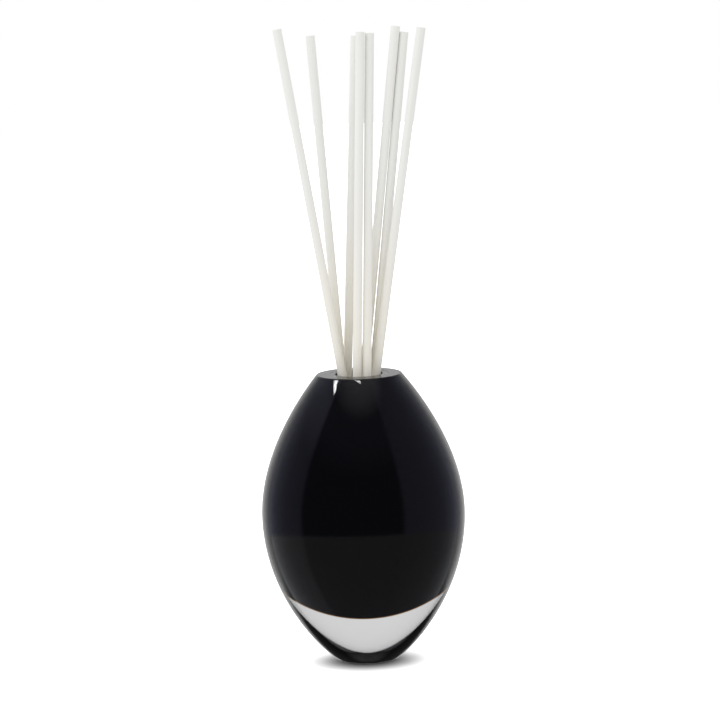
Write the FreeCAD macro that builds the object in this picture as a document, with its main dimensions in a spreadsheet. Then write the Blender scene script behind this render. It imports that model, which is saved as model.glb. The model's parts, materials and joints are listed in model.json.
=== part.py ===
import FreeCAD, Part
import math
import os

import Sketcher
from FreeCAD import Placement, Rotation, Vector

# A home-fragrance reed diffuser, in millimetres, +Z up, origin at the centre of the flat base.
# A black glass cup is cased in clear glass that pools into a thick clear foot. Fragrance oil
# stands in the cup, and eight fibre reeds lean out of the mouth in a loose fan.

# Driving dimensions. Each curved wall is a pair of cubic curves that meet upright at its widest
# place: "reach" is the length of a handle, "out" and "down" place the handle next to the neck.
DIMENSIONS = {
    "vessel_height": 129.0,
    "rim_radius": 18.9,
    "mouth_radius": 10.0,
    "base_radius": 13.3,
    # clear casing, outside
    "belly_radius": 45.4,
    "belly_height": 66.0,
    "shoulder_reach": 25.2,
    "neck_out": 11.0,
    "neck_down": 13.3,
    "haunch_reach": 37.1,
    "foot_out": 6.0,
    "foot_up": 3.2,
    # black cup, outside, where the two layers of glass meet
    "cup_rim_radius": 13.2,
    "cup_radius": 41.0,
    "cup_widest": 67.0,
    "cup_bottom": 25.4,
    "cup_shoulder_reach": 24.0,
    "cup_neck_out": 10.5,
    "cup_neck_down": 12.7,
    "cup_haunch_reach": 21.6,
    "cup_bottom_reach": 22.2,
    # cavity of the cup
    "cavity_radius": 38.0,
    "cavity_widest": 68.0,
    "cavity_bottom": 30.0,
    "cavity_shoulder_reach": 23.0,
    "cavity_neck_out": 10.0,
    "cavity_neck_down": 12.3,
    "cavity_haunch_reach": 20.0,
    "cavity_bottom_reach": 22.0,
    # softened edges of the ground rim
    "rim_ease": 0.4,
    "mouth_ease": 0.5,
    # fragrance oil
    "oil_level": 84.0,
    "wick_gap": 0.05,
    # reeds
    "reed_diameter": 4.0,
    "reed_seat_gap": 0.1,
}

# Each reed: where its axis crosses the plane of the rim (x, y), how many degrees it leans there
# to the side (towards +X) and to the back (towards +Y), and how long it is cut.
REEDS = {
    "reed_1": (-7.3, -2.73, -8.9, 5.0, 252.7),
    "reed_2": (-7.6, 1.8, -3.5, 7.44, 248.4),
    "reed_3": (-5.0, 5.75, 3.2, 6.6, 246.9),
    "reed_4": (-0.8, -7.22, 2.4, 4.55, 246.9),
    "reed_5": (3.6, -6.8, 2.3, 5.25, 246.4),
    "reed_6": (2.4, 3.44, 7.0, 0.48, 252.2),
    "reed_7": (6.9, 3.4, 6.8, 1.0, 250.5),
    "reed_8": (7.7, -1.1, 9.2, 0.45, 253.3),
}
REED_CELLS = ("x", "y", "side_lean", "back_lean", "length")

ORIGIN = -1
HORIZONTAL_AXIS = -1
VERTICAL_AXIS = -2
START, END, CENTRE = 1, 2, 3
UP = Vector(0, 0, 1)


def make_sheet(document):
    """Spreadsheet with one cell per driving dimension."""
    sheet = document.addObject("Spreadsheet::Sheet", "dims")
    cells = dict(DIMENSIONS)
    for reed, values in REEDS.items():
        for name, value in zip(REED_CELLS, values):
            cells[f"{reed}_{name}"] = value
    for row, (name, value) in enumerate(cells.items(), start=1):
        sheet.set(f"A{row}", name)
        sheet.set(f"B{row}", str(value))
        sheet.setAlias(f"B{row}", name)
    document.recompute()
    return sheet


def amount(terms):
    """Number that a sum of named dimensions comes to; an empty sum is zero."""
    total = 0.0
    sign = 1.0
    for word in terms.split():
        if word in ("+", "-"):
            sign = float(word + "1")
        else:
            total += sign * DIMENSIONS[word]
    return total


def formula(terms):
    """The same sum as an expression on the spreadsheet's cells."""
    return " ".join(word if word in ("+", "-") else f"dims.{word}" for word in terms.split())


def new_body(document, label):
    """Empty body with its own label."""
    body = document.addObject("PartDesign::Body", label)
    body.Label = label
    return body


def new_sketch(body, name, role):
    """Sketch that lies flat on one of the body's origin planes."""
    plane = next(item for item in body.Origin.OriginFeatures if item.Role == role)
    sketch = body.newObject("Sketcher::SketchObject", name)
    sketch.AttachmentSupport = [(plane, "")]
    sketch.MapMode = "FlatFace"
    return sketch


def pin(sketch, geometry, vertex, spot):
    """Ties a vertex to a spot: two sums of dimensions, out from the axis and up."""
    axes = (VERTICAL_AXIS, HORIZONTAL_AXIS)
    for kind, terms, axis in zip(("DistanceX", "DistanceY"), spot, axes):
        if terms:
            rule = Sketcher.Constraint(kind, ORIGIN, START, geometry, vertex, amount(terms))
            index = sketch.addConstraint(rule)
            sketch.setExpression(f"Constraints[{index}]", formula(terms))
        else:
            sketch.addConstraint(Sketcher.Constraint("PointOnObject", geometry, vertex, axis))


def add_curve(sketch, spots):
    """Cubic curve from the first spot to the last, with its two handles tied down."""
    poles = [Vector(amount(across), amount(upward), 0) for across, upward in spots]
    handles = []
    for pole in poles:
        handle = sketch.addGeometry(Part.Circle(pole, UP, 1.0), True)
        if handles:
            sketch.addConstraint(Sketcher.Constraint("Equal", handles[0], handle))
        else:
            sketch.addConstraint(Sketcher.Constraint("Weight", handle, 1.0))
        handles.append(handle)
    curve = sketch.addGeometry(Part.BSplineCurve(poles, None, None, False, 3, None, False))
    for order, handle in enumerate(handles):
        alignment = "InternalAlignment:Sketcher::BSplineControlPoint"
        sketch.addConstraint(Sketcher.Constraint(alignment, handle, CENTRE, curve, order))
    sketch.exposeInternalGeometry(curve)
    pin(sketch, handles[1], CENTRE, spots[1])
    pin(sketch, handles[2], CENTRE, spots[2])
    return curve


def add_line(sketch, spots):
    """Straight line between two spots."""
    ends = [Vector(amount(across), amount(upward), 0) for across, upward in spots]
    return sketch.addGeometry(Part.LineSegment(*ends))


def draw_outline(sketch, start, steps):
    """Closed outline: each step is the next corner, after two handles where it is a curve."""
    corner = start
    edges = []
    for step in steps:
        spots = [corner, *step]
        edge = add_line(sketch, spots) if len(step) == 1 else add_curve(sketch, spots)
        corner = spots[-1]
        edges.append((edge, corner))
    for (edge, corner), (following, _) in zip(edges, edges[1:] + edges[:1]):
        sketch.addConstraint(Sketcher.Constraint("Coincident", edge, END, following, START))
        pin(sketch, edge, END, corner)


def revolve(body, name, start, steps):
    """Solid of revolution about +Z whose half section is the outline."""
    sketch = new_sketch(body, f"{name}_section", "XZ_Plane")
    draw_outline(sketch, start, steps)
    turned = body.newObject("PartDesign::Revolution", name)
    turned.Profile = sketch
    turned.ReferenceAxis = (sketch, ["V_Axis"])
    turned.Angle = 360.0
    body.Document.recompute()
    return turned


def round_edge(body, base, name, cell, radius, height):
    """Rounds the level circular edge that has this radius at this height."""
    names = []
    for number, edge in enumerate(base.Shape.Edges, start=1):
        if edge.Degenerated or not isinstance(edge.Curve, Part.Circle):
            continue
        ring = edge.Curve
        if abs(ring.Radius - radius) < 0.01 and abs(ring.Center.z - height) < 0.01:
            names.append(f"Edge{number}")
    fillet = body.newObject("PartDesign::Fillet", name)
    fillet.Base = (base, names)
    fillet.setExpression("Radius", f"dims.{cell}")
    body.Document.recompute()
    return fillet


# Corners and handles of the three curved walls, as (out from the axis, up).
OUTSIDE_UP = [
    ("belly_radius", "belly_height + shoulder_reach"),
    ("rim_radius + neck_out", "vessel_height - neck_down"),
    ("rim_radius", "vessel_height"),
]
OUTSIDE_FOOT = [
    ("base_radius + foot_out", "foot_up"),
    ("belly_radius", "belly_height - haunch_reach"),
    ("belly_radius", "belly_height"),
]
CUP_DOWN = [
    ("cup_rim_radius + cup_neck_out", "vessel_height - cup_neck_down"),
    ("cup_radius", "cup_widest + cup_shoulder_reach"),
    ("cup_radius", "cup_widest"),
]
CUP_BOTTOM = [
    ("cup_radius", "cup_widest - cup_haunch_reach"),
    ("cup_bottom_reach", "cup_bottom"),
    ("", "cup_bottom"),
]
CAVITY_BOTTOM = [
    ("cavity_bottom_reach", "cavity_bottom"),
    ("cavity_radius", "cavity_widest - cavity_haunch_reach"),
    ("cavity_radius", "cavity_widest"),
]
CAVITY_UP = [
    ("cavity_radius", "cavity_widest + cavity_shoulder_reach"),
    ("mouth_radius + cavity_neck_out", "vessel_height - cavity_neck_down"),
    ("mouth_radius", "vessel_height"),
]


def make_casing(document):
    """Clear glass gathered over the cup, with a thick foot and a flat ground base."""
    body = new_body(document, "clear_casing")
    steps = [
        [("base_radius", "")],
        OUTSIDE_FOOT,
        OUTSIDE_UP,
        [("cup_rim_radius", "vessel_height")],
        CUP_DOWN,
        CUP_BOTTOM,
        [("", "")],
    ]
    glass = revolve(body, "casing_glass", ("", ""), steps)
    rim = DIMENSIONS["rim_radius"]
    round_edge(body, glass, "rim_edge", "rim_ease", rim, DIMENSIONS["vessel_height"])
    return body


def make_cup(document):
    """Black glass cup that holds the oil, open at the mouth."""
    body = new_body(document, "black_cup")
    steps = [
        [("", "cavity_bottom")],
        CAVITY_BOTTOM,
        CAVITY_UP,
        [("cup_rim_radius", "vessel_height")],
        CUP_DOWN,
        CUP_BOTTOM,
    ]
    glass = revolve(body, "cup_glass", ("", "cup_bottom"), steps)
    mouth = DIMENSIONS["mouth_radius"]
    round_edge(body, glass, "mouth_edge", "mouth_ease", mouth, DIMENSIONS["vessel_height"])
    return body


def bezier(spots, share):
    """Point of a cubic curve at a share of its run from 0 to 1, as (out, up)."""
    rest = 1.0 - share
    weights = (rest ** 3, 3 * rest ** 2 * share, 3 * rest * share ** 2, share ** 3)
    across = sum(weight * amount(spot[0]) for weight, spot in zip(weights, spots))
    upward = sum(weight * amount(spot[1]) for weight, spot in zip(weights, spots))
    return across, upward


def floor_height(radius):
    """Height of the cavity's floor at a distance from the axis, by halving the curve."""
    spots = [("", "cavity_bottom"), *CAVITY_BOTTOM]
    low, high = 0.0, 1.0
    for _ in range(40):
        middle = (low + high) / 2
        if bezier(spots, middle)[0] < radius:
            low = middle
        else:
            high = middle
    return bezier(spots, low)[1]


def seat_reed(reed):
    """Placement of a reed: its foot stands on the cavity's floor and its axis is its +Z."""
    x, y, side_lean, back_lean, _ = REEDS[reed]
    slope = Vector(math.tan(math.radians(side_lean)), math.tan(math.radians(back_lean)), 1.0)
    mouth = Vector(x, y, DIMENSIONS["vessel_height"])
    foot = Vector(mouth)
    for _ in range(20):
        edge = math.hypot(foot.x, foot.y) + DIMENSIONS["reed_diameter"] / 2
        height = floor_height(edge) + DIMENSIONS["reed_seat_gap"]
        foot = mouth + slope * (height - mouth.z)
    return Placement(foot, Rotation(UP, slope))


def make_oil(document, reeds):
    """Fragrance oil that fills the cup to its level, with a snug channel round each reed."""
    body = new_body(document, "fragrance_oil")
    cavity = [CAVITY_BOTTOM, CAVITY_UP, [("", "vessel_height")], [("", "cavity_bottom")]]
    revolve(body, "oil_brimful", ("", "cavity_bottom"), cavity)
    empty_space = [
        [("cup_radius", "oil_level")],
        [("cup_radius", "vessel_height + wick_gap")],
        [("", "vessel_height + wick_gap")],
        [("", "oil_level")],
    ]
    section = new_sketch(body, "air_section", "XZ_Plane")
    draw_outline(section, ("", "oil_level"), empty_space)
    air = body.newObject("PartDesign::Groove", "air")
    air.Profile = section
    air.ReferenceAxis = (section, ["V_Axis"])
    air.Angle = 360.0
    for reed in reeds:
        channel = body.newObject("PartDesign::SubtractiveCylinder", f"{reed.Label}_channel")
        channel.setExpression("Radius", "dims.reed_diameter / 2 + dims.wick_gap")
        channel.setExpression("Height", f"dims.{reed.Label}_length")
        below_foot = Vector(0, 0, -DIMENSIONS["reed_diameter"])
        channel.Placement = reed.Placement * Placement(below_foot, Rotation())
        document.recompute()
    return body


def make_reed(document, label):
    """Plain round reed cut square at both ends, standing in the cup."""
    body = new_body(document, label)
    sketch = new_sketch(body, f"{label}_section", "XY_Plane")
    ring = sketch.addGeometry(Part.Circle(Vector(0, 0, 0), UP, DIMENSIONS["reed_diameter"] / 2))
    sketch.addConstraint(Sketcher.Constraint("Coincident", ring, CENTRE, ORIGIN, START))
    size = sketch.addConstraint(Sketcher.Constraint("Diameter", ring, DIMENSIONS["reed_diameter"]))
    sketch.setExpression(f"Constraints[{size}]", "dims.reed_diameter")
    stick = body.newObject("PartDesign::Pad", f"{label}_stick")
    stick.Profile = sketch
    stick.setExpression("Length", f"dims.{label}_length")
    body.Placement = seat_reed(label)
    return body


def find_faults(document, parts):
    """Names of the objects that failed to build and of the parts with no sound solid."""
    faults = [item.Name for item in document.Objects if {"Invalid", "Error"} & set(item.State)]
    for part in parts:
        if part.Shape.isNull() or not part.Shape.isValid() or len(part.Shape.Solids) != 1:
            faults.append(part.Label)
    return faults


document = FreeCAD.newDocument("reed_diffuser")
make_sheet(document)
casing = make_casing(document)
cup = make_cup(document)
reeds = [make_reed(document, label) for label in REEDS]
document.recompute()
oil = make_oil(document, reeds)
document.recompute()

parts = [casing, cup, oil, *reeds]
faults = find_faults(document, parts)
if faults:
    raise RuntimeError("did not build: " + ", ".join(faults))

os.makedirs("parts", exist_ok=True)
for part in parts:
    part.Shape.exportStep(f"parts/{part.Label}.step")
    box = part.Shape.BoundBox
    print(f"{part.Label}: {part.Shape.Volume / 1000:.1f} ml, z {box.ZMin:.1f} to {box.ZMax:.1f}")
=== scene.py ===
"""Looks of a home-fragrance reed diffuser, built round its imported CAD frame.

A black glass cup, cased in clear glass that pools into a thick foot, holds fragrance oil and
eight fibre reeds. Every new mesh is a surface worked out with numpy, in metres, in the part's
own frame: +Z up, origin at the centre of the base, -Y towards the front.
"""

import json
import logging
import math
from dataclasses import dataclass, field
from enum import Enum

import bpy
import numpy as np
from mathutils import Matrix, Vector


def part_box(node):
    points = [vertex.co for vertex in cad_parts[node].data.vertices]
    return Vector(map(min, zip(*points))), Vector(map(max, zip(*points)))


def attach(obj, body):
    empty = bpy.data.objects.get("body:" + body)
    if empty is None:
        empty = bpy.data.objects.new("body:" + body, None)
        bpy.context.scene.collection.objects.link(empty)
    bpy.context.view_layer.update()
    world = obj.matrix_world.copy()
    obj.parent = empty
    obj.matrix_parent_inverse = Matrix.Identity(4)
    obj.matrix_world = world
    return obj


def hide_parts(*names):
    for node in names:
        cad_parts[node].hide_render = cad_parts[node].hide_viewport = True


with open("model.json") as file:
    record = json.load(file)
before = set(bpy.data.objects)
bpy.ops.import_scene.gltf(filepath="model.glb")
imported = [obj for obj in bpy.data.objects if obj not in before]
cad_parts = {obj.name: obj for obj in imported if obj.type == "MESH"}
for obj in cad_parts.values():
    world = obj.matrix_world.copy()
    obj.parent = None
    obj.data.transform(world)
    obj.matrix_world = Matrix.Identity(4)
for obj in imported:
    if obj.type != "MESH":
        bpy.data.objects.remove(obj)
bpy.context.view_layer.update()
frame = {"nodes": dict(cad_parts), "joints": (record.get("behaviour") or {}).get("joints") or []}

log = logging.getLogger("reed_diffuser")

MM = 0.001
GLASS_IOR = 1.40
OIL_IOR = 1.45


class Slot(Enum):
    """The record's material slots."""

    CLEAR = "clear_glass"
    BLACK = "black_glass"
    OIL = "oil"
    REED = "reed_fibre"


class Finish(Enum):
    """Which material a band of faces on a glass piece takes."""

    BODY = 0
    RIM = 1


# ---------------------------------------------------------------------------------------------
# Outlines and meshes
# ---------------------------------------------------------------------------------------------


def cubic(ends: np.ndarray, count: int) -> np.ndarray:
    """Points of a cubic curve.

    Formula: the sum of the four poles, weighted by the cubic Bernstein polynomials of t.

    Args:
        ends: Four poles, as rows of (out from the axis, up).
        count: How many points to work out.

    Returns:
        The points, as rows of (out, up).
    """
    t = np.linspace(0.0, 1.0, count)[:, None]
    s = 1.0 - t
    weights = np.hstack([s**3, 3 * s**2 * t, 3 * s * t**2, t**3])
    return weights @ ends


def flat(start: tuple[float, float], end: tuple[float, float], count: int = 14) -> np.ndarray:
    """Points of a straight stretch, closer together near both its ends.

    Formula: start plus (end minus start) times half of one minus cos(pi t).
    """
    t = 0.5 - 0.5 * np.cos(np.linspace(0.0, math.pi, count))[:, None]
    return (1.0 - t) * np.array(start) + t * np.array(end)


def join_rounded(first: np.ndarray, second: np.ndarray, radius: float, steps: int = 9) -> np.ndarray:
    """Joins two stretches at their shared corner with an arc of the given radius.

    Formula: the arc's points are the centre plus the spherical blend of its two end radii.

    Args:
        first: Stretch that ends at the corner.
        second: Stretch that starts at the corner.
        radius: Radius of the arc, in metres.
        steps: How many points the arc has.

    Returns:
        Both stretches and the arc between them.
    """
    corner = second[0]
    back = first[-2] - corner
    on = second[1] - corner
    back = back / np.linalg.norm(back)
    on = on / np.linalg.norm(on)
    half = 0.5 * math.acos(float(np.clip(back @ on, -1.0, 1.0)))
    cut = radius / math.tan(half)
    middle = (back + on) / np.linalg.norm(back + on)
    centre = corner + middle * radius / math.sin(half)
    from_back = corner + back * cut - centre
    from_on = corner + on * cut - centre
    sweep = math.pi - 2.0 * half
    share = np.linspace(0.0, 1.0, steps)[:, None]
    arc = (np.sin((1 - share) * sweep) * from_back + np.sin(share * sweep) * from_on) / math.sin(sweep)
    kept_first = first[np.linalg.norm(first - corner, axis=1) > cut * 1.2]
    kept_second = second[np.linalg.norm(second - corner, axis=1) > cut * 1.2]
    return np.vstack([kept_first, centre + arc, kept_second])


@dataclass(frozen=True)
class Wall:
    """Half section of a curved glass wall: two cubic curves that meet upright at its widest."""

    low: tuple[float, float]
    low_handle: tuple[float, float]
    widest: tuple[float, float]
    reach_down: float
    reach_up: float
    high_handle: tuple[float, float]
    high: tuple[float, float]

    def trace(self, count: int) -> np.ndarray:
        """Points from the low end to the high end.

        Args:
            count: Points on each of the two curves.

        Returns:
            Rows of (out, up).
        """
        low, widest, high = (np.array(end) for end in (self.low, self.widest, self.high))
        down = np.array([0.0, -self.reach_down])
        up = np.array([0.0, self.reach_up])
        lower = cubic(np.array([low, low + self.low_handle, widest + down, widest]), count)
        upper = cubic(np.array([widest, widest + up, high + self.high_handle, high]), count)
        return np.vstack([lower, upper[1:]])


@dataclass(frozen=True)
class Seat:
    """Where a turned piece stands: its foot's centre and the three directions of its own axes."""

    foot: np.ndarray
    across: np.ndarray
    behind: np.ndarray
    along: np.ndarray

    @staticmethod
    def upright() -> "Seat":
        """Seat at the frame's origin, along +Z."""
        return Seat(np.zeros(3), *np.eye(3))

    def place(self, points: np.ndarray) -> np.ndarray:
        """Points in the piece's own axes, moved into the frame."""
        axes = np.stack([self.across, self.behind, self.along])
        return self.foot + points @ axes


def revolve(
    name: str,
    outline: np.ndarray,
    segments: int,
    seat: Seat | None = None,
    swell: np.ndarray | None = None,
    bands: np.ndarray | None = None,
) -> bpy.types.Object:
    """Turns an outline round its axis into a closed, smooth mesh with a UV map.

    Formula: point (i, j) is (k r cos a, k r sin a, z), with (r, z) the i-th outline point, a the
    j-th of the even angles round the axis and k the swell there, then placed on the seat. An
    outline that starts out along the base and ends down the inside has its faces outwards.

    Args:
        name: Name of the piece.
        outline: Rows of (out, up); the first and last lie on the axis.
        segments: How many faces go round.
        seat: Where the piece stands; upright at the origin if left out.
        swell: Share by which each point's radius differs, one row per outline point.
        bands: Material index of each stretch between outline points.

    Returns:
        The new object, at the origin, with its place in its mesh.
    """
    rings = len(outline)
    angles = np.linspace(0.0, 2.0 * math.pi, segments, endpoint=False)
    radius = np.repeat(outline[:, :1], segments, axis=1)
    if swell is not None:
        radius = radius * swell
    height = np.repeat(outline[:, 1:], segments, axis=1)
    grid = np.stack([radius * np.cos(angles), radius * np.sin(angles), height], axis=2)
    inner = grid[1:-1].reshape(-1, 3)
    points = np.vstack([grid[0, :1], inner, grid[-1, :1]])
    points = (seat or Seat.upright()).place(points)

    count = (rings - 2) * segments
    index = 1 + np.arange(count).reshape(rings - 2, segments)
    ahead = np.roll(index, -1, axis=1)
    quads = np.stack([index[:-1], ahead[:-1], ahead[1:], index[1:]], axis=2).reshape(-1, 4)
    first = np.stack([np.zeros(segments, int), ahead[0], index[0]], axis=1)
    last = np.stack([index[-1], ahead[-1], np.full(segments, count + 1)], axis=1)
    mesh = bpy.data.meshes.new(name)
    mesh.from_pydata(points.tolist(), [], first.tolist() + quads.tolist() + last.tolist())
    mesh.polygons.foreach_set("use_smooth", np.ones(len(mesh.polygons), bool))

    run = np.concatenate([[0.0], np.cumsum(np.linalg.norm(np.diff(outline, axis=0), axis=1))])
    v = run / run[-1]
    u = np.arange(segments + 1) / segments
    near, far = np.meshgrid(v[1:-2], u[:-1], indexing="ij")
    near_next, far_next = np.meshgrid(v[2:-1], u[1:], indexing="ij")
    corners = [(far, near), (far_next, near), (far_next, near_next), (far, near_next)]
    quad_uv = np.stack([np.stack(pair, axis=2) for pair in corners], axis=2).reshape(-1, 2)
    middle = (u[:-1] + u[1:]) / 2
    foot_edge, top_edge = (np.full(segments, share) for share in (v[1], v[-2]))
    low_fan = np.stack([[middle, np.zeros(segments)], [u[1:], foot_edge], [u[:-1], foot_edge]])
    high_fan = np.stack([[u[:-1], top_edge], [u[1:], top_edge], [middle, np.ones(segments)]])
    fans = [fan.transpose(2, 0, 1).reshape(-1, 2) for fan in (low_fan, high_fan)]
    layer = mesh.uv_layers.new(name="UVMap")
    layer.data.foreach_set("uv", np.vstack([fans[0], quad_uv, fans[1]]).astype(np.float32).ravel())

    if bands is not None:
        mesh.polygons.foreach_set("material_index", np.repeat(bands, segments).astype(np.int32))
    mesh.update()
    piece = bpy.data.objects.new(name, mesh)
    bpy.context.scene.collection.objects.link(piece)
    return piece


# ---------------------------------------------------------------------------------------------
# Materials
# ---------------------------------------------------------------------------------------------


class Shader:
    """A new node material and the few steps that each finish needs to fill it."""

    def __init__(self, name: str) -> None:
        """Empty material with one Principled BSDF wired to its output."""
        self.material = bpy.data.materials.new(name)
        self.material.use_nodes = True
        self.nodes = self.material.node_tree.nodes
        self.links = self.material.node_tree.links
        self.principled = self.nodes["Principled BSDF"]

    def add(self, kind: str, **settings: object) -> bpy.types.Node:
        """New node with its settings and, for names of sockets, their values."""
        return add_node(self.nodes, kind, **settings)

    def wire(self, source: bpy.types.NodeSocket, target: bpy.types.NodeSocket) -> None:
        """Joins two sockets."""
        self.links.new(source, target)

    def group(self, tree: bpy.types.NodeTree, **values: object) -> bpy.types.Node:
        """Places a shared node group with this material's own values."""
        node = self.nodes.new("ShaderNodeGroup")
        node.node_tree = tree
        for name, value in values.items():
            node.inputs[name.replace("_", " ")].default_value = value
        return node

    def set(self, **values: object) -> None:
        """Sets plain values on the Principled BSDF's own sockets."""
        for name, value in values.items():
            self.principled.inputs[name.replace("_", " ")].default_value = value


def add_node(nodes: bpy.types.Nodes, kind: str, **settings: object) -> bpy.types.Node:
    """New node in a tree.

    Args:
        nodes: The tree's nodes.
        kind: Blender's name for the node.
        settings: Properties of the node, or values of its input sockets.

    Returns:
        The node.
    """
    node = nodes.new(kind)
    for name, value in settings.items():
        if hasattr(node, name):
            setattr(node, name, value)
        else:
            node.inputs[name.replace("_", " ")].default_value = value
    return node


def new_group(name: str, inputs: dict[str, float], outputs: list[str]) -> bpy.types.NodeTree:
    """Shader node group with named float inputs and outputs.

    Args:
        name: Name of the group.
        inputs: Name and default value of each input.
        outputs: Name of each output.

    Returns:
        The group's tree, with its input and output nodes in place.
    """
    tree = bpy.data.node_groups.new(name, "ShaderNodeTree")
    for label, value in inputs.items():
        socket = tree.interface.new_socket(label, in_out="INPUT", socket_type="NodeSocketFloat")
        socket.default_value = value
    for label in outputs:
        tree.interface.new_socket(label, in_out="OUTPUT", socket_type="NodeSocketFloat")
    tree.nodes.new("NodeGroupInput")
    tree.nodes.new("NodeGroupOutput")
    return tree


def handwork_group() -> bpy.types.NodeTree:
    """Waviness and fine marks of hand-worked glass, as one height over the surface."""
    inputs = {"Wave Scale": 30.0, "Wave": 1.0, "Mark Scale": 900.0, "Marks": 0.0}
    tree = new_group("handwork", inputs, ["Height"])
    start = tree.nodes["Group Input"]
    place = tree.nodes.new("ShaderNodeTexCoord")
    slow = add_node(tree.nodes, "ShaderNodeTexNoise", Detail=1.0, Roughness=0.4)
    fine = add_node(tree.nodes, "ShaderNodeTexNoise", Detail=3.0, Roughness=0.6)
    slow_part = add_node(tree.nodes, "ShaderNodeMath", operation="MULTIPLY")
    fine_part = add_node(tree.nodes, "ShaderNodeMath", operation="MULTIPLY")
    total = add_node(tree.nodes, "ShaderNodeMath", operation="ADD")
    wave, marks = (slow, "Wave Scale", slow_part, "Wave"), (fine, "Mark Scale", fine_part, "Marks")
    for noise, scale, part, amount in (wave, marks):
        tree.links.new(place.outputs["Object"], noise.inputs["Vector"])
        tree.links.new(start.outputs[scale], noise.inputs["Scale"])
        tree.links.new(noise.outputs["Fac"], part.inputs[0])
        tree.links.new(start.outputs[amount], part.inputs[1])
    tree.links.new(slow_part.outputs[0], total.inputs[0])
    tree.links.new(fine_part.outputs[0], total.inputs[1])
    tree.links.new(total.outputs[0], tree.nodes["Group Output"].inputs["Height"])
    return tree


@dataclass(frozen=True)
class ClearGlass:
    """Clear glass: colour of its bulk, roughness, and how deep its surface marks are."""

    name: str
    tint: tuple[float, float, float]
    roughness: float
    wave: float
    marks: float
    depth: float

    def make(self, handwork: bpy.types.NodeTree) -> bpy.types.Material:
        """Builds the material.

        Args:
            handwork: The group that gives the surface its height.

        Returns:
            The material.
        """
        shader = Shader(self.name)
        shader.set(Base_Color=(*self.tint, 1.0), Roughness=self.roughness, IOR=GLASS_IOR)
        shader.set(Transmission_Weight=1.0)
        height = shader.group(handwork, Wave=self.wave, Marks=self.marks)
        bump = shader.add("ShaderNodeBump", Strength=1.0, Distance=self.depth)
        shader.wire(height.outputs["Height"], bump.inputs["Height"])
        shader.wire(bump.outputs["Normal"], shader.principled.inputs["Normal"])
        return shader.material


@dataclass(frozen=True)
class BlackGlass:
    """Black glass: its colour, the warm painted light of a thin edge, put into its colour where the
    surface turns away from the eye, and its gloss.
    """

    name: str
    colour: tuple[float, float, float]
    # Painted edge light: the colour put where the surface turns away from the eye.
    edge: tuple[float, float, float]
    roughness: float
    gloss: float
    edge_from: float

    def make(self, handwork: bpy.types.NodeTree) -> bpy.types.Material:
        """Builds the material.

        Args:
            handwork: The group that gives the surface its height.

        Returns:
            The material.
        """
        shader = Shader(self.name)
        shader.set(Roughness=self.roughness, IOR=1.5, Specular_IOR_Level=self.gloss)
        # Painted edge light: the base colour turns amber where the surface turns away from the eye,
        # standing in for light shining through thin glass.
        facing = shader.add("ShaderNodeLayerWeight", Blend=0.5)
        ramp = shader.add("ShaderNodeValToRGB")
        ramp.color_ramp.elements[0].position = self.edge_from
        ramp.color_ramp.elements[0].color = (*self.colour, 1.0)
        ramp.color_ramp.elements[1].position = 1.0
        ramp.color_ramp.elements[1].color = (*self.edge, 1.0)
        shader.wire(facing.outputs["Facing"], ramp.inputs["Fac"])
        shader.wire(ramp.outputs["Color"], shader.principled.inputs["Base Color"])
        height = shader.group(handwork, Wave=0.2, Marks=0.5)
        bump = shader.add("ShaderNodeBump", Strength=1.0, Distance=0.01 * MM)
        shader.wire(height.outputs["Height"], bump.inputs["Height"])
        shader.wire(bump.outputs["Normal"], shader.principled.inputs["Normal"])
        return shader.material


@dataclass(frozen=True)
class Oil:
    """Fragrance oil: a clear amber liquid."""

    name: str
    tint: tuple[float, float, float]

    def make(self) -> bpy.types.Material:
        """Builds the material, with a barely uneven, still surface."""
        shader = Shader(self.name)
        shader.set(Base_Color=(*self.tint, 1.0), Roughness=0.0, IOR=OIL_IOR, Transmission_Weight=1.0)
        place = shader.add("ShaderNodeTexCoord")
        noise = shader.add("ShaderNodeTexNoise", Scale=60.0, Detail=0.0)
        bump = shader.add("ShaderNodeBump", Strength=0.3, Distance=0.02 * MM)
        shader.wire(place.outputs["Object"], noise.inputs["Vector"])
        shader.wire(noise.outputs["Fac"], bump.inputs["Height"])
        shader.wire(bump.outputs["Normal"], shader.principled.inputs["Normal"])
        return shader.material


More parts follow.
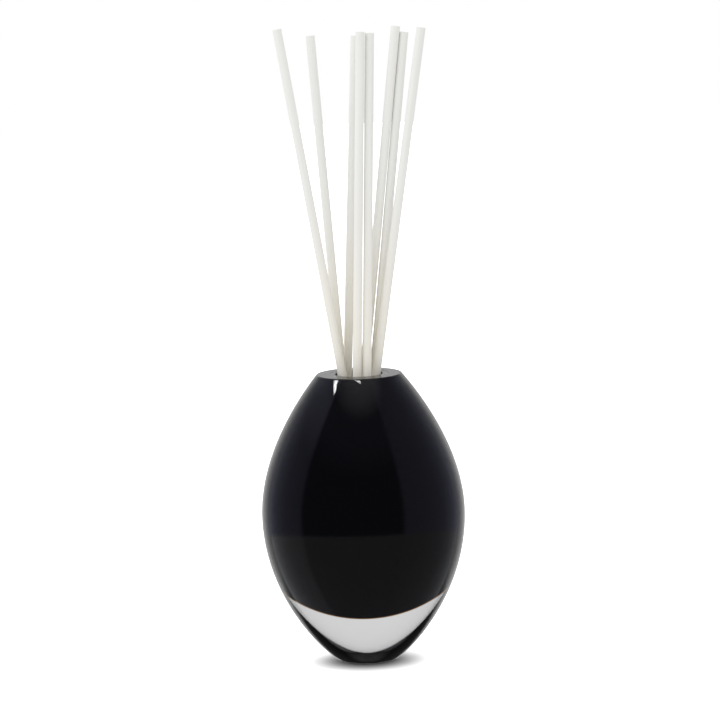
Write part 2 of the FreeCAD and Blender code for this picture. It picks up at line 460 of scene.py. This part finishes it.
@dataclass(frozen=True)
class Fibre:
    """Bonded white fibre that draws up oil: dry colour, the warmer colour of its lower part, which is
    oil drawn up into the fibre together with painted shade, and where that change begins and ends.
    """

    name: str
    dry: tuple[float, float, float]
    soaked_and_shaded: tuple[float, float, float]
    streak: float
    soak_shade_low: float
    soak_shade_high: float

    def make(self) -> bpy.types.Material:
        """Builds the material: lengthwise streaks, a warmer lower part of oil drawn up into the fibre
        with painted shade, and a fibrous bump.
        """
        shader = Shader(self.name)
        shader.set(Roughness=0.82, IOR=1.45, Specular_IOR_Level=0.25)
        shader.set(Sheen_Weight=0.15, Sheen_Roughness=0.5)
        uv = shader.add("ShaderNodeUVMap", uv_map="UVMap")
        split = shader.add("ShaderNodeSeparateXYZ")
        shader.wire(uv.outputs["UV"], split.inputs["Vector"])
        strand = shader.add("ShaderNodeAttribute", attribute_name="strand")

        turn = shader.add("ShaderNodeMath", operation="MULTIPLY")
        turn.inputs[1].default_value = 2.0 * math.pi
        across = shader.add("ShaderNodeMath", operation="COSINE")
        behind = shader.add("ShaderNodeMath", operation="SINE")
        ring = shader.add("ShaderNodeCombineXYZ")
        shader.wire(split.outputs["X"], turn.inputs[0])
        shader.wire(turn.outputs[0], across.inputs[0])
        shader.wire(turn.outputs[0], behind.inputs[0])
        shader.wire(across.outputs[0], ring.inputs["X"])
        shader.wire(behind.outputs[0], ring.inputs["Y"])
        shader.wire(split.outputs["Y"], ring.inputs["Z"])

        streaks = []
        for stretch, detail in (((7.0, 7.0, 5.0), 3.0), ((26.0, 26.0, 14.0), 2.0)):
            scale = shader.add("ShaderNodeVectorMath", operation="MULTIPLY")
            scale.inputs[1].default_value = stretch
            noise = shader.add("ShaderNodeTexNoise", noise_dimensions="4D", Scale=1.0, Detail=detail)
            shader.wire(ring.outputs[0], scale.inputs[0])
            shader.wire(scale.outputs[0], noise.inputs["Vector"])
            shader.wire(strand.outputs["Fac"], noise.inputs["W"])
            streaks.append(noise)

        # Warmer towards the bottom: oil drawn up into the fibre, together with painted shade near the
        # mouth.
        soak_and_shade = shader.add("ShaderNodeMapRange", interpolation_type="SMOOTHSTEP")
        limits = {"From Min": self.soak_shade_low, "From Max": self.soak_shade_high, "To Min": 1.0, "To Max": 0.0}
        for name, value in limits.items():
            soak_and_shade.inputs[name].default_value = value
        shader.wire(split.outputs["Y"], soak_and_shade.inputs["Value"])
        colour = shader.add("ShaderNodeMix", data_type="RGBA")
        colour.inputs[6].default_value = (*self.dry, 1.0)
        colour.inputs[7].default_value = (*self.soaked_and_shaded, 1.0)
        shader.wire(soak_and_shade.outputs["Result"], colour.inputs["Factor"])

        shade = shader.add("ShaderNodeMapRange")
        limits = {"From Min": 0.3, "From Max": 0.7, "To Min": 1.0 - self.streak, "To Max": 1.0}
        for name, value in limits.items():
            shade.inputs[name].default_value = value
        shader.wire(streaks[0].outputs["Fac"], shade.inputs["Value"])
        tone = shader.add("ShaderNodeVectorMath", operation="SCALE")
        shader.wire(colour.outputs[2], tone.inputs[0])
        shader.wire(shade.outputs["Result"], tone.inputs["Scale"])
        shader.wire(tone.outputs[0], shader.principled.inputs["Base Color"])

        total = shader.add("ShaderNodeMath", operation="ADD")
        bump = shader.add("ShaderNodeBump", Strength=0.6, Distance=0.06 * MM)
        shader.wire(streaks[0].outputs["Fac"], total.inputs[0])
        shader.wire(streaks[1].outputs["Fac"], total.inputs[1])
        shader.wire(total.outputs[0], bump.inputs["Height"])
        shader.wire(bump.outputs["Normal"], shader.principled.inputs["Normal"])
        return shader.material


# ---------------------------------------------------------------------------------------------
# Sub-assemblies
# ---------------------------------------------------------------------------------------------


def corner_of(node: str) -> Vector:
    """Highest corner of a CAD node's box."""
    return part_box(node)[1]


@dataclass
class Vessel:
    """The glass vessel: clear casing, black cup and the oil in it."""

    height: float = field(default_factory=lambda: corner_of("clear_casing").z)
    belly: float = field(default_factory=lambda: corner_of("clear_casing").x)
    cup_belly: float = field(default_factory=lambda: corner_of("black_cup").x)
    cup_bottom: float = field(default_factory=lambda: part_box("black_cup")[0].z)
    base_radius: float = 13.3 * MM
    rim_radius: float = 18.9 * MM
    seam_radius: float = 13.2 * MM
    mouth_radius: float = 10.0 * MM
    cavity_belly: float = 38.0 * MM
    cavity_bottom: float = 30.0 * MM
    edge: float = 0.6 * MM
    mouth_edge: float = 0.5 * MM
    fusion: float = 0.05 * MM
    segments: int = 320

    def outside(self) -> Wall:
        """Outer wall of the clear casing."""
        return Wall(
            low=(self.base_radius, 0.0),
            low_handle=(6.0 * MM, 3.2 * MM),
            widest=(self.belly, 66.0 * MM),
            reach_down=37.1 * MM,
            reach_up=25.2 * MM,
            high_handle=(11.0 * MM, -13.3 * MM),
            high=(self.rim_radius, self.height),
        )

    def seam(self, fused: float = 0.0) -> Wall:
        """Wall where the clear glass is fused to the black.

        Args:
            fused: How far the wall is moved out into the clear glass.

        Returns:
            The wall.
        """
        return Wall(
            low=(0.0, self.cup_bottom - fused),
            low_handle=(22.2 * MM, 0.0),
            widest=(self.cup_belly + fused, 67.0 * MM),
            reach_down=21.6 * MM,
            reach_up=24.0 * MM,
            high_handle=(10.5 * MM, -12.7 * MM),
            high=(self.seam_radius + fused, self.height - fused),
        )

    def cavity(self) -> Wall:
        """Inner wall of the cup."""
        return Wall(
            low=(0.0, self.cavity_bottom),
            low_handle=(22.0 * MM, 0.0),
            widest=(self.cavity_belly, 68.0 * MM),
            reach_down=20.0 * MM,
            reach_up=23.0 * MM,
            high_handle=(10.0 * MM, -12.3 * MM),
            high=(self.mouth_radius, self.height - self.fusion),
        )

    def casing(self) -> bpy.types.Object:
        """Clear casing: base, outer wall, rounded rim edge, flat rim and the fused seam."""
        base = flat((0.0, 0.0), (self.base_radius, 0.0))
        wall = self.outside().trace(70)
        rim = flat((self.rim_radius, self.height), (self.seam_radius, self.height))
        outline = join_rounded(base, wall, 3.0 * MM)
        rim_starts = len(outline)
        outline = join_rounded(outline, rim, self.edge)
        inside = self.seam().trace(50)[::-1]
        bands = np.full(len(outline) + len(inside) - 2, Finish.BODY.value)
        past_wall = np.arange(1, len(outline)) > rim_starts // 2
        on_rim = (outline[1:, 1] > self.height - 0.5 * self.edge) & past_wall
        bands[: len(outline) - 1][on_rim] = Finish.RIM.value
        outline = np.vstack([outline, inside[1:]])
        return revolve("clear_glass_casing", outline, self.segments, bands=bands)

    def cup(self) -> bpy.types.Object:
        """Black cup: fused outer wall, flat rim, rounded mouth and cavity."""
        wall = self.seam(self.fusion).trace(50)
        top = self.height - self.fusion
        rim = flat((self.seam_radius + self.fusion, top), (self.mouth_radius, top))
        cavity = self.cavity().trace(50)[::-1]
        outline = join_rounded(np.vstack([wall, rim[1:]]), cavity, self.mouth_edge)
        bands = np.full(len(outline) - 1, Finish.RIM.value)
        bands[: len(wall) - 1] = Finish.BODY.value
        return revolve("black_glass_cup", outline, self.segments, bands=bands)

    def build(self, handwork: bpy.types.NodeTree) -> None:
        """Makes, dresses and places the vessel's pieces.

        Args:
            handwork: The group that gives glass its hand-worked surface.
        """
        clear = ClearGlass("clear_glass", (0.985, 0.985, 0.985), 0.0, 1.0, 0.0, 0.02 * MM)
        ground = ClearGlass("polished_rim_glass", (0.97, 0.97, 0.97), 0.05, 0.3, 0.3, 0.01 * MM)
        casing = self.casing()
        casing.data.materials.append(clear.make(handwork))
        casing.data.materials.append(ground.make(handwork))
        settle(casing, "vessel", Slot.CLEAR, "clear_casing")

        deep_black, soft_black = (0.0004, 0.0004, 0.0006), (0.0015, 0.0015, 0.002)
        # Painted edge light: amber that the cased black glass takes where it turns away from the eye.
        painted_edge_light = (0.75, 0.42, 0.20)
        fused = BlackGlass("cased_black_glass", deep_black, painted_edge_light, 0.4, 0.0, 0.84)
        bare = BlackGlass("bare_black_glass", soft_black, soft_black, 0.09, 0.5, 0.5)
        cup = self.cup()
        cup.data.materials.append(fused.make(handwork))
        cup.data.materials.append(bare.make(handwork))
        settle(cup, "vessel", Slot.BLACK, "black_cup")

        oil = frame["nodes"]["fragrance_oil"]
        oil.data.materials.clear()
        oil.data.materials.append(Oil("amber_oil", (0.95, 0.78, 0.45)).make())
        log.info("fragrance_oil keeps its CAD shape")


def settle(piece: bpy.types.Object, body: str, slot: Slot, *nodes: str) -> None:
    """Hangs a finished piece on its body, hides the CAD nodes that it stands for, and reports it.

    Args:
        piece: The finished piece.
        body: The body that it rides on.
        slot: Not used.
        nodes: The CAD nodes that it stands for.
    """
    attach(piece, body)
    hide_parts(*nodes)
    log.info("%s: %d faces, rides on %s", piece.name, len(piece.data.polygons), body)


@dataclass
class Reed:
    """One fibre reed: a plain round stick, cut square, that stands where its CAD node stands."""

    node: str
    number: int
    segments: int = 64
    rings: int = 110
    ease: float = 0.12 * MM
    flute: float = 0.008
    radius: float = field(init=False)
    length: float = field(init=False)
    seat: Seat = field(init=False)

    def __post_init__(self) -> None:
        """Reads the reed's axis from its joint, and its foot, length and radius from its node."""
        joint = next(item for item in frame["joints"] if item["child"] == self.node)
        along = np.array(joint["axis"], float)
        along = along / np.linalg.norm(along)
        mesh = frame["nodes"][self.node].data
        points = np.empty(len(mesh.vertices) * 3)
        mesh.vertices.foreach_get("co", points)
        points = points.reshape(-1, 3)
        travel = points @ along
        foot = points[travel < travel.min() + 0.01 * MM]
        foot = (foot.min(axis=0) + foot.max(axis=0)) / 2
        across = np.cross([0.0, 1.0, 0.0], along)
        across = across / np.linalg.norm(across)
        self.length = float(travel.max() - travel.min())
        self.radius = float(np.linalg.norm(np.cross(points - foot, along), axis=1).max())
        self.seat = Seat(foot, across, np.cross(along, across), along)

    def outline(self) -> np.ndarray:
        """Half section: flat end, eased edge, straight side, eased edge, flat end."""
        foot = flat((0.0, 0.0), (self.radius, 0.0), 8)
        side = flat((self.radius, 0.0), (self.radius, self.length), self.rings)
        top = flat((self.radius, self.length), (0.0, self.length), 8)
        return join_rounded(join_rounded(foot, side, self.ease, 5), top, self.ease, 5)

    def swell(self, outline: np.ndarray) -> np.ndarray:
        """Shallow lengthwise flutes, different on each reed.

        Formula: one minus the depth times the square of a sum of sines round the reed, whose
        phases drift along its length, so that no point is further out than the plain stick.

        Args:
            outline: The reed's half section.

        Returns:
            Share of the radius at each outline point and angle.
        """
        dice = np.random.default_rng(40 + self.number)
        angle = np.linspace(0.0, 2.0 * math.pi, self.segments, endpoint=False)[None, :]
        height = outline[:, 1:] / self.length
        waves = np.zeros((len(outline), self.segments))
        counts = (2, 5, 9, 14)
        for count in counts:
            phase, drift = dice.uniform(0.0, 2.0 * math.pi), dice.uniform(-3.0, 3.0)
            waves += np.sin(count * angle + phase + drift * height)
        return 1.0 - self.flute * (waves / len(counts)) ** 2

    def build(self, fibre: bpy.types.Material) -> None:
        """Makes, dresses and places the reed.

        Args:
            fibre: The reeds' shared material.
        """
        outline = self.outline()
        piece = revolve(f"fibre_{self.node}", outline, self.segments, self.seat, self.swell(outline))
        strand = piece.data.attributes.new("strand", "FLOAT", "POINT")
        shift = 3.7 * self.number
        strand.data.foreach_set("value", np.full(len(piece.data.vertices), shift, np.float32))
        piece.data.materials.append(fibre)
        settle(piece, self.node, Slot.REED, self.node)


# ---------------------------------------------------------------------------------------------
# Studio
# ---------------------------------------------------------------------------------------------


@dataclass(frozen=True)
class Band:
    """One height band of the studio as the glass mirrors it, from the back round the left side.

    Each stop is its share of a full turn, its grey value and how much bluer than grey it is.
    """

    stops: tuple[tuple[float, float, float], ...]
    green_share: float = 0.08

    def ramp(self, nodes: bpy.types.Nodes) -> bpy.types.Node:
        """New ColorRamp node that holds the band's stops; a bluer stop is a touch greener too."""
        node = nodes.new("ShaderNodeValToRGB")
        elements = node.color_ramp.elements
        while len(elements) < len(self.stops):
            elements.new(0.5)
        for element, (position, grey, blue) in zip(elements, self.stops):
            element.position = position
            element.color = (grey, grey * (1.0 + self.green_share * blue), grey * (1.0 + blue), 1.0)
        return node


def band(back: float, left: float, front: float, right: float, blue: float) -> Band:
    """Band of panels behind, at both sides and in front, alike on the left and on the right.

    Going round from the back, the wall brightens a little and then dims. At about an eighth of a
    turn a side begins at nearly twice its own grey, and it settles to that before the front.

    Args:
        back: Grey value of the wall straight behind.
        left: Grey value of the left side.
        front: Grey value of the dark panel in front.
        right: Grey value of the right side.
        blue: How much bluer than grey the front and the sides are.

    Returns:
        The band.
    """
    wall_stops = (
        (0.035, 1.1, 0.0),
        (0.056, 1.22, 0.0),
        (0.078, 1.07, 0.0),
        (0.10, 0.9, 0.1),
        (0.119, 0.64, 0.3),
    )
    side_stops = ((0.133, 1.95, 0.6), (0.156, 1.5, 0.8), (0.18, 1.25, 1.0), (0.222, 1.04, 1.0))
    stops = [(0.0, back, 0.0)]
    stops += [(place, back * share, blue * tint) for place, share, tint in wall_stops]
    stops += [(place, left * share, blue * tint) for place, share, tint in side_stops]
    stops += [(0.288, left, blue), (0.300, front, blue), (0.622, front, blue), (0.636, right, blue)]
    stops += [(1.0 - place, right * share, blue * tint) for place, share, tint in reversed(side_stops)]
    stops += [(1.0 - place, back * share, blue * tint) for place, share, tint in reversed(wall_stops)]
    return Band(tuple(stops + [(1.0, back, 0.0)]))


@dataclass(frozen=True)
class Strip:
    """Slim lamp whose reflection is a glint: where it hangs, along what line, and how bright."""

    name: str
    turn: float
    rise: float
    length: float
    width: float
    slant: float
    radiance: float
    reach: float = 1.2
    shoulder_height: float = 125.0 * MM

    def place(self) -> None:
        """Hangs the lamp round the shoulder, facing it."""
        turn, rise, slant = (math.radians(angle) for angle in (self.turn, self.rise, self.slant))
        aside = math.cos(rise)
        outwards = Vector((math.sin(turn) * aside, -math.cos(turn) * aside, math.sin(rise)))
        level = Vector((math.cos(turn), math.sin(turn), 0.0))
        upright = outwards.cross(level) * -1.0
        along = level * math.cos(slant) + upright * math.sin(slant)
        across = outwards.cross(along)
        data = bpy.data.lights.new(self.name, "AREA")
        data.shape = "RECTANGLE"
        data.size = 2.0 * self.reach * math.tan(math.radians(self.length) / 2)
        data.size_y = 2.0 * self.reach * math.tan(math.radians(self.width) / 2)
        data.energy = self.radiance * math.pi * data.size * data.size_y
        lamp = bpy.data.objects.new(self.name, data)
        turned = Matrix((along, across, outwards)).transposed().to_4x4()
        spot = outwards * self.reach + Vector((0.0, 0.0, self.shoulder_height))
        lamp.matrix_world = Matrix.Translation(spot) @ turned
        lamp.visible_camera = False
        bpy.context.scene.collection.objects.link(lamp)


@dataclass
class Studio:
    """Pale floor with a painted contact shadow, soft light and the camera."""

    floor_radius: float = 3.0
    floor_sides: int = 96
    floor_height: float = -0.1 * MM
    distance: float = 1.8
    elevation: float = 7.77
    roll: float = 1.9
    aim: tuple[float, float, float] = (0.7 * MM, 0.0, 134.9 * MM)
    target_height: float = 140.0 * MM
    view_width: float = 320.0 * MM

    def floor(self) -> None:
        """Pale matt disc just under the base, with a painted contact shadow: its colour darkens towards
        the foot, and it glows, though it is no lamp, more and more away from the foot.

        Formula: point (i, j) is (r cos a, r sin a), with r the i-th of a few growing radii and a
        the j-th of the even angles round the object.
        """
        sides = self.floor_sides
        angles = np.linspace(0.0, 2.0 * math.pi, sides, endpoint=False)
        radii = np.array([0.15, 0.4, 1.0, self.floor_radius])[:, None]
        level = np.full((len(radii), sides), self.floor_height)
        rings = np.stack([radii * np.cos(angles), radii * np.sin(angles), level], axis=2)
        points = np.vstack([[[0.0, 0.0, self.floor_height]], rings.reshape(-1, 3)])
        index = 1 + np.arange(len(radii) * sides).reshape(-1, sides)
        ahead = np.roll(index, -1, axis=1)
        fan = np.stack([np.zeros(sides, int), index[0], ahead[0]], axis=1)
        quads = np.stack([index[:-1], index[1:], ahead[1:], ahead[:-1]], axis=2).reshape(-1, 4)
        mesh = bpy.data.meshes.new("studio_floor")
        mesh.from_pydata(points.tolist(), [], fan.tolist() + quads.tolist())
        piece = bpy.data.objects.new("studio_floor", mesh)
        bpy.context.scene.collection.objects.link(piece)
        shader = Shader("pale_floor_painted_shadow")
        shader.set(Roughness=0.9, Specular_IOR_Level=0.0, Emission_Color=(1.0, 1.0, 1.0, 1.0))
        place = shader.add("ShaderNodeTexCoord")
        # Painted contact shadow: centred on a spot just in front of the foot, where the floor's glow
        # fades out.
        spot = shader.add("ShaderNodeMapping")
        spot.inputs["Location"].default_value = (0.0, 6.5 * MM, 0.0)
        spot.inputs["Scale"].default_value = (1.0, 1.1, 1.0)
        reach = shader.add("ShaderNodeVectorMath", operation="LENGTH")
        # Painted light: the floor glows though it is no lamp, more and more away from the foot.
        glow = shader.add("ShaderNodeMapRange", interpolation_type="SMOOTHSTEP")
        glow.inputs["From Min"].default_value = 8.0 * MM
        glow.inputs["From Max"].default_value = 36.0 * MM
        shader.wire(place.outputs["Object"], spot.inputs["Vector"])
        shader.wire(spot.outputs[0], reach.inputs[0])
        shader.wire(reach.outputs["Value"], glow.inputs["Value"])
        shader.wire(glow.outputs["Result"], shader.principled.inputs["Emission Strength"])
        # Painted shadow: the floor's own colour is darkest at the foot.
        shade = shader.add("ShaderNodeMix", data_type="RGBA")
        shade.inputs[6].default_value = (0.22, 0.22, 0.22, 1.0)
        shade.inputs[7].default_value = (0.92, 0.92, 0.92, 1.0)
        shader.wire(glow.outputs["Result"], shade.inputs["Factor"])
        shader.wire(shade.outputs[2], shader.principled.inputs["Base Color"])
        mesh.materials.append(shader.material)
        piece.visible_diffuse = False
        piece.visible_glossy = False
        piece.visible_transmission = False

    def world(self) -> None:
        """White to look at, soft white to light by, and panels of grey in the glass.

        The panels are bands stacked by height: straight down, under the foot, below, level with
        the belly and above, with a glow overhead.
        """
        world = bpy.data.worlds.new("studio_world")
        bpy.context.scene.world = world
        world.use_nodes = True
        nodes, links = world.node_tree.nodes, world.node_tree.links
        nodes.clear()
        place = nodes.new("ShaderNodeTexCoord")
        split = nodes.new("ShaderNodeSeparateXYZ")
        links.new(place.outputs["Generated"], split.inputs["Vector"])
        forward = add_node(nodes, "ShaderNodeMath", operation="MULTIPLY")
        forward.inputs[1].default_value = -1.0
        links.new(split.outputs["Y"], forward.inputs[0])
        azimuth = add_node(nodes, "ShaderNodeMath", operation="ARCTAN2")
        links.new(split.outputs["X"], azimuth.inputs[0])
        links.new(forward.outputs[0], azimuth.inputs[1])
        turn = self.blend(nodes, links, azimuth.outputs[0], -math.pi, math.pi)

        straight_down = band(0.24, 0.30, 0.24, 0.25, 0.08).ramp(nodes)
        under = band(0.05, 0.36, 0.24, 0.25, 0.08).ramp(nodes)
        below = band(0.68, 0.36, 0.24, 0.25, 0.08).ramp(nodes)
        level = band(0.68, 0.22, 0.080, 0.22, 0.4).ramp(nodes)
        above = band(0.68, 0.40, 0.130, 0.23, 0.4).ramp(nodes)
        for ramp in (straight_down, under, below, level, above):
            links.new(turn, ramp.inputs["Fac"])
        rise = split.outputs["Z"]
        deep = self.mix(nodes, links, self.blend(nodes, links, rise, -0.93, -0.85), straight_down, under)
        foot = self.mix(nodes, links, self.blend(nodes, links, rise, -0.52, -0.38), deep, below)
        low = self.mix(nodes, links, self.blend(nodes, links, rise, -0.255, -0.225), foot, level)
        side = self.mix(nodes, links, self.blend(nodes, links, rise, 0.45, 0.68), low, above)
        top = self.blend(nodes, links, rise, 0.80, 1.0)
        glow = add_node(nodes, "ShaderNodeMath", operation="MULTIPLY")
        glow.inputs[1].default_value = 0.8
        links.new(top, glow.inputs[0])
        studio = add_node(nodes, "ShaderNodeMix", data_type="RGBA", blend_type="ADD")
        studio.inputs["Factor"].default_value = 1.0
        links.new(side.outputs[2], studio.inputs[6])
        links.new(glow.outputs[0], studio.inputs[7])

        soft = add_node(nodes, "ShaderNodeMapRange")
        for name, value in (("From Min", -1.0), ("From Max", 1.0), ("To Min", 1.05), ("To Max", 0.89)):
            soft.inputs[name].default_value = value
        links.new(split.outputs["X"], soft.inputs["Value"])
        path = nodes.new("ShaderNodeLightPath")
        through = add_node(nodes, "ShaderNodeMix", data_type="RGBA")
        through.inputs[7].default_value = (0.69, 0.69, 0.69, 1.0)
        links.new(path.outputs["Is Transmission Ray"], through.inputs["Factor"])
        links.new(studio.outputs[2], through.inputs[6])
        lit = add_node(nodes, "ShaderNodeMix", data_type="RGBA")
        links.new(path.outputs["Is Diffuse Ray"], lit.inputs["Factor"])
        links.new(through.outputs[2], lit.inputs[6])
        links.new(soft.outputs["Result"], lit.inputs[7])
        seen = add_node(nodes, "ShaderNodeMix", data_type="RGBA")
        seen.inputs[7].default_value = (1.0, 1.0, 1.0, 1.0)
        links.new(path.outputs["Is Camera Ray"], seen.inputs["Factor"])
        links.new(lit.outputs[2], seen.inputs[6])
        background = nodes.new("ShaderNodeBackground")
        links.new(seen.outputs[2], background.inputs["Color"])
        output = nodes.new("ShaderNodeOutputWorld")
        links.new(background.outputs[0], output.inputs["Surface"])

    @staticmethod
    def blend(
        nodes: bpy.types.Nodes,
        links: bpy.types.NodeLinks,
        value: bpy.types.NodeSocket,
        low: float,
        high: float,
    ) -> bpy.types.NodeSocket:
        """Value as a share of the way from low to high, held between none and all."""
        share = nodes.new("ShaderNodeMapRange")
        share.inputs["From Min"].default_value = low
        share.inputs["From Max"].default_value = high
        links.new(value, share.inputs["Value"])
        return share.outputs["Result"]

    @staticmethod
    def mix(
        nodes: bpy.types.Nodes,
        links: bpy.types.NodeLinks,
        share: bpy.types.NodeSocket,
        first: bpy.types.Node,
        second: bpy.types.Node,
    ) -> bpy.types.Node:
        """Colour mix of two nodes' colours by a share."""
        node = add_node(nodes, "ShaderNodeMix", data_type="RGBA")
        links.new(share, node.inputs["Factor"])
        for source, slot in ((first, 6), (second, 7)):
            colour = source.outputs["Color"] if "Color" in source.outputs else source.outputs[2]
            links.new(colour, node.inputs[slot])
        return node

    def lights(self) -> None:
        """Three slim lamps that glint on the shoulder."""
        for strip in (
            Strip("side_strip", -84.5, 52.0, 10.5, 2.4, -4.0, 26.0),
            Strip("corner_strip", -87.0, 54.8, 6.0, 2.0, 50.0, 24.0),
            Strip("top_strip", -10.0, 69.5, 12.0, 1.4, 2.0, 20.0),
        ):
            strip.place()

    def camera(self) -> None:
        """Long-lens camera, slightly above the rim and slightly rolled."""
        tilt = math.radians(self.elevation)
        rise = self.target_height + self.distance * math.sin(tilt)
        place = Vector((0.0, -self.distance * math.cos(tilt), rise))
        ahead = (Vector(self.aim) - place).normalized()
        level = ahead.cross(Vector((0.0, 0.0, 1.0))).normalized()
        upright = level.cross(ahead)
        roll = math.radians(self.roll)
        right = level * math.cos(roll) - upright * math.sin(roll)
        up = level * math.sin(roll) + upright * math.cos(roll)
        turn = Matrix((right, up, -ahead)).transposed().to_4x4()
        data = bpy.data.cameras.new("studio_camera")
        data.sensor_width = 36.0
        data.lens = data.sensor_width * self.distance / self.view_width
        data.clip_start, data.clip_end = 0.1, 50.0
        eye = bpy.data.objects.new("studio_camera", data)
        eye.matrix_world = Matrix.Translation(place) @ turn
        bpy.context.scene.collection.objects.link(eye)
        bpy.context.scene.camera = eye

    def build(self) -> None:
        """Sets up the floor, the world, the lights and the camera."""
        self.floor()
        self.world()
        self.lights()
        self.camera()
        bpy.context.scene.view_settings.view_transform = "Standard"


def main() -> None:
    """Builds the studio, the vessel and the reeds."""
    logging.basicConfig(level=logging.INFO, format="%(name)s: %(message)s")
    Studio().build()
    Vessel().build(handwork_group())
    # The second colour is the reeds' lower part: oil drawn up into the fibre, together with painted warm
    # shade near the mouth.
    fibre = Fibre("reed_fibre", (0.85, 0.85, 0.82), (0.87, 0.84, 0.76), 0.05, 0.36, 0.78).make()
    reeds = sorted(name for name in frame["nodes"] if name.startswith("reed_"))
    for number, node in enumerate(reeds, start=1):
        Reed(node, number).build(fibre)


if __name__ == "__main__":
    main()
